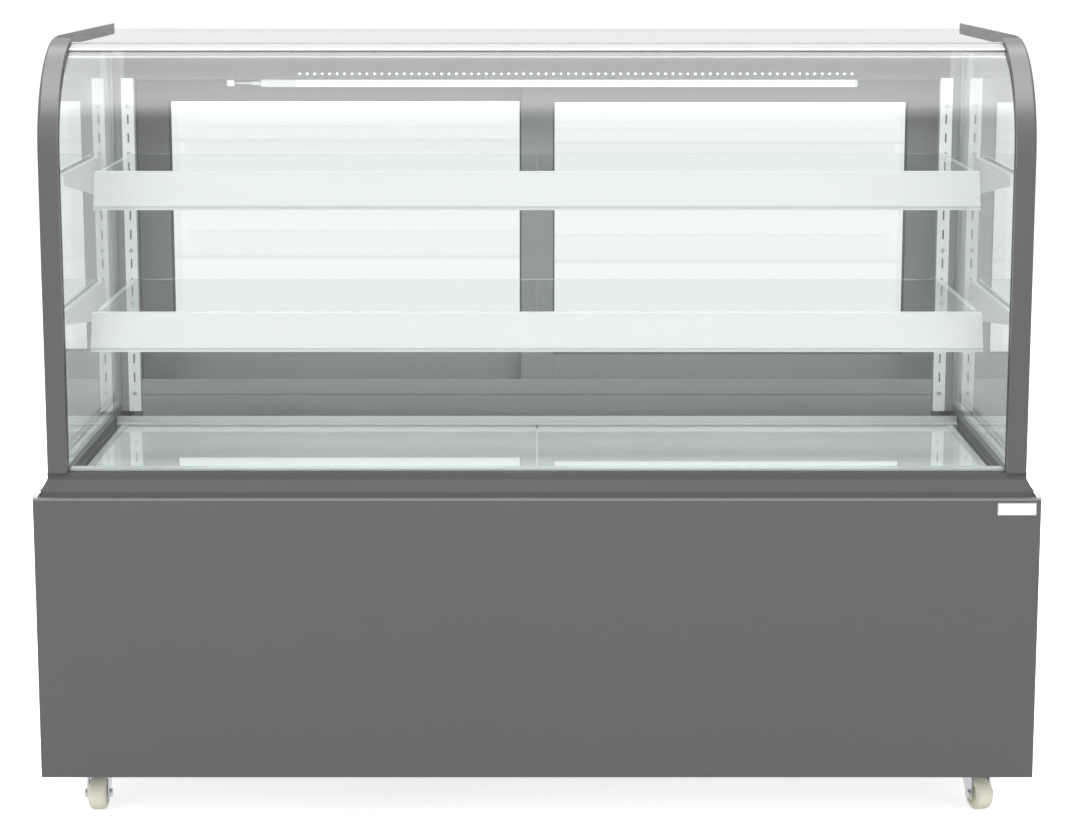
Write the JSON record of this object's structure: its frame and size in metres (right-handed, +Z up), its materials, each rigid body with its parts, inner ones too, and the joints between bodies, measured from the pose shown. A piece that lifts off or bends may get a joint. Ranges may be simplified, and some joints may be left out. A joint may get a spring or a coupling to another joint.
{
  "type": "refrigerated bakery display case",
  "caption": "Refrigerated bakery display case with a curved front glasshouse, glass shelves, sliding rear doors, a machine base and swivel casters.",
  "frame": {"origin": "middle of the footprint, on the floor", "axes": "+X to the viewer's right, seen from the customer's side; +Y from the front towards the rear doors; +Z up"},
  "size_m": [1.5, 0.73, 1.187],
  "materials": {
    "panel_paint": "satin",
    "chassis_steel": "satin",
    "ledge_steel": "satin",
    "frame_paint": "satin",
    "sheet_paint": "satin",
    "clear_glass": "polished",
    "bright_aluminium": "satin",
    "zinc_plate": "satin",
    "rail_plastic": "satin",
    "lamp_plastic": "satin",
    "caster_nylon": "satin",
    "tub_plastic": "matte",
    "coil_aluminium": "satin",
    "black_enamel": "gloss",
    "rubber_feet": "matte",
    "copper": "polished",
    "black_plastic": "satin",
    "display_plastic": "gloss"
  },
  "bodies": {
    "case": {"front_panel": "panel_paint", "left_side_panel": "panel_paint", "right_side_panel": "panel_paint", "rear_panel": "panel_paint", "rear_grille": "panel_paint", "base_pan": "chassis_steel", "condensate_pan": "chassis_steel", "top_ledge": "ledge_steel", "left_side_frame": "frame_paint", "right_side_frame": "frame_paint", "skirt_moulding": "frame_paint", "rear_door_frame": "frame_paint", "header": "sheet_paint", "duct_panel": "sheet_paint", "front_glass": "clear_glass", "top_glass": "clear_glass", "left_side_glass": "clear_glass", "right_side_glass": "clear_glass", "upper_shelf_glass": "clear_glass", "lower_shelf_glass": "clear_glass", "deck_glass": "clear_glass", "deck_trim": "bright_aluminium", "lamp_channel": "bright_aluminium", "shelf_standards": "zinc_plate", "shelf_brackets": "zinc_plate", "caster_plates": "zinc_plate", "upper_price_rail": "rail_plastic", "lower_price_rail": "rail_plastic", "lamp_diffuser": "lamp_plastic", "insulated_tub": "tub_plastic", "evaporator_coil": "coil_aluminium", "condenser_coil": "coil_aluminium", "evaporator_fan_plate": "coil_aluminium", "compressor": "black_enamel", "condenser_fan_shroud": "black_enamel", "compressor_grommets": "rubber_feet", "copper_pipes": "copper", "control_housing": "black_plastic", "display_lens": "display_plastic"},
    "left_door": {"left_door_frame": "frame_paint", "left_door_glass": "clear_glass", "left_door_handle": "black_plastic"},
    "right_door": {"right_door_frame": "frame_paint", "right_door_glass": "clear_glass", "right_door_handle": "black_plastic"},
    "condenser_fan_rotor": {"condenser_fan": "black_plastic"},
    "left_evaporator_rotor": {"left_evaporator_fan": "black_plastic"},
    "right_evaporator_rotor": {"right_evaporator_fan": "black_plastic"},
    "set_key_cap": {"set_key": "black_plastic"},
    "up_key_cap": {"up_key": "black_plastic"},
    "down_key_cap": {"down_key": "black_plastic"},
    "light_rocker": {"light_switch": "black_plastic"},
    "front_left_swivel": {"front_left_caster_fork": "zinc_plate"},
    "front_left_wheel": {"front_left_caster_wheel": "caster_nylon"},
    "front_right_swivel": {"front_right_caster_fork": "zinc_plate"},
    "front_right_wheel": {"front_right_caster_wheel": "caster_nylon"},
    "rear_left_swivel": {"rear_left_caster_fork": "zinc_plate"},
    "rear_left_wheel": {"rear_left_caster_wheel": "caster_nylon"},
    "rear_right_swivel": {"rear_right_caster_fork": "zinc_plate"},
    "rear_right_wheel": {"rear_right_caster_wheel": "caster_nylon"}
  },
  "joints": [
    {"name": "left_door_slide", "type": "slide", "parent": "case", "child": "left_door", "axis": [1, 0, 0], "range_m": [0, 0.653]},
    {"name": "right_door_slide", "type": "slide", "parent": "case", "child": "right_door", "axis": [-1, 0, 0], "range_m": [0, 0.653]},
    {"name": "condenser_fan_spin", "type": "hinge", "parent": "case", "child": "condenser_fan_rotor", "pos_m": [-0.38, 0.208, 0.2155], "axis": [0, 1, 0], "continuous": true},
    {"name": "left_evaporator_fan_spin", "type": "hinge", "parent": "case", "child": "left_evaporator_rotor", "pos_m": [-0.21, 0.026, 0.46975], "axis": [0, 1, 0], "continuous": true},
    {"name": "right_evaporator_fan_spin", "type": "hinge", "parent": "case", "child": "right_evaporator_rotor", "pos_m": [0.21, 0.026, 0.46975], "axis": [0, 1, 0], "continuous": true},
    {"name": "set_key_press", "type": "slide", "parent": "case", "child": "set_key_cap", "axis": [0, -1, 0], "range_m": [0, 0.001], "stiffness_N_per_m": 300},
    {"name": "up_key_press", "type": "slide", "parent": "case", "child": "up_key_cap", "axis": [0, -1, 0], "range_m": [0, 0.001], "stiffness_N_per_m": 300},
    {"name": "down_key_press", "type": "slide", "parent": "case", "child": "down_key_cap", "axis": [0, -1, 0], "range_m": [0, 0.001], "stiffness_N_per_m": 300},
    {"name": "light_switch_rock", "type": "hinge", "parent": "case", "child": "light_rocker", "pos_m": [0.454, 0.358, 0.378], "axis": [1, 0, 0], "range_deg": [-16, 0]},
    {"name": "front_left_swivel_turn", "type": "hinge", "parent": "case", "child": "front_left_swivel", "pos_m": [-0.678, -0.263, 0.06], "axis": [0, 0, 1], "continuous": true},
    {"name": "front_left_wheel_roll", "type": "hinge", "parent": "front_left_swivel", "child": "front_left_wheel", "pos_m": [-0.678, -0.285, 0.025], "axis": [1, 0, 0], "continuous": true},
    {"name": "front_right_swivel_turn", "type": "hinge", "parent": "case", "child": "front_right_swivel", "pos_m": [0.678, -0.263, 0.06], "axis": [0, 0, 1], "continuous": true},
    {"name": "front_right_wheel_roll", "type": "hinge", "parent": "front_right_swivel", "child": "front_right_wheel", "pos_m": [0.6848, -0.28392, 0.025], "axis": [0.9511, 0.309, 0], "continuous": true},
    {"name": "rear_left_swivel_turn", "type": "hinge", "parent": "case", "child": "rear_left_swivel", "pos_m": [-0.678, 0.265, 0.06], "axis": [0, 0, 1], "continuous": true},
    {"name": "rear_left_wheel_roll", "type": "hinge", "parent": "rear_left_swivel", "child": "rear_left_wheel", "pos_m": [-0.678, 0.243, 0.025], "axis": [1, 0, 0], "continuous": true},
    {"name": "rear_right_swivel_turn", "type": "hinge", "parent": "case", "child": "rear_right_swivel", "pos_m": [0.678, 0.265, 0.06], "axis": [0, 0, 1], "continuous": true},
    {"name": "rear_right_wheel_roll", "type": "hinge", "parent": "rear_right_swivel", "child": "rear_right_wheel", "pos_m": [0.678, 0.243, 0.025], "axis": [1, 0, 0], "continuous": true}
  ]
}
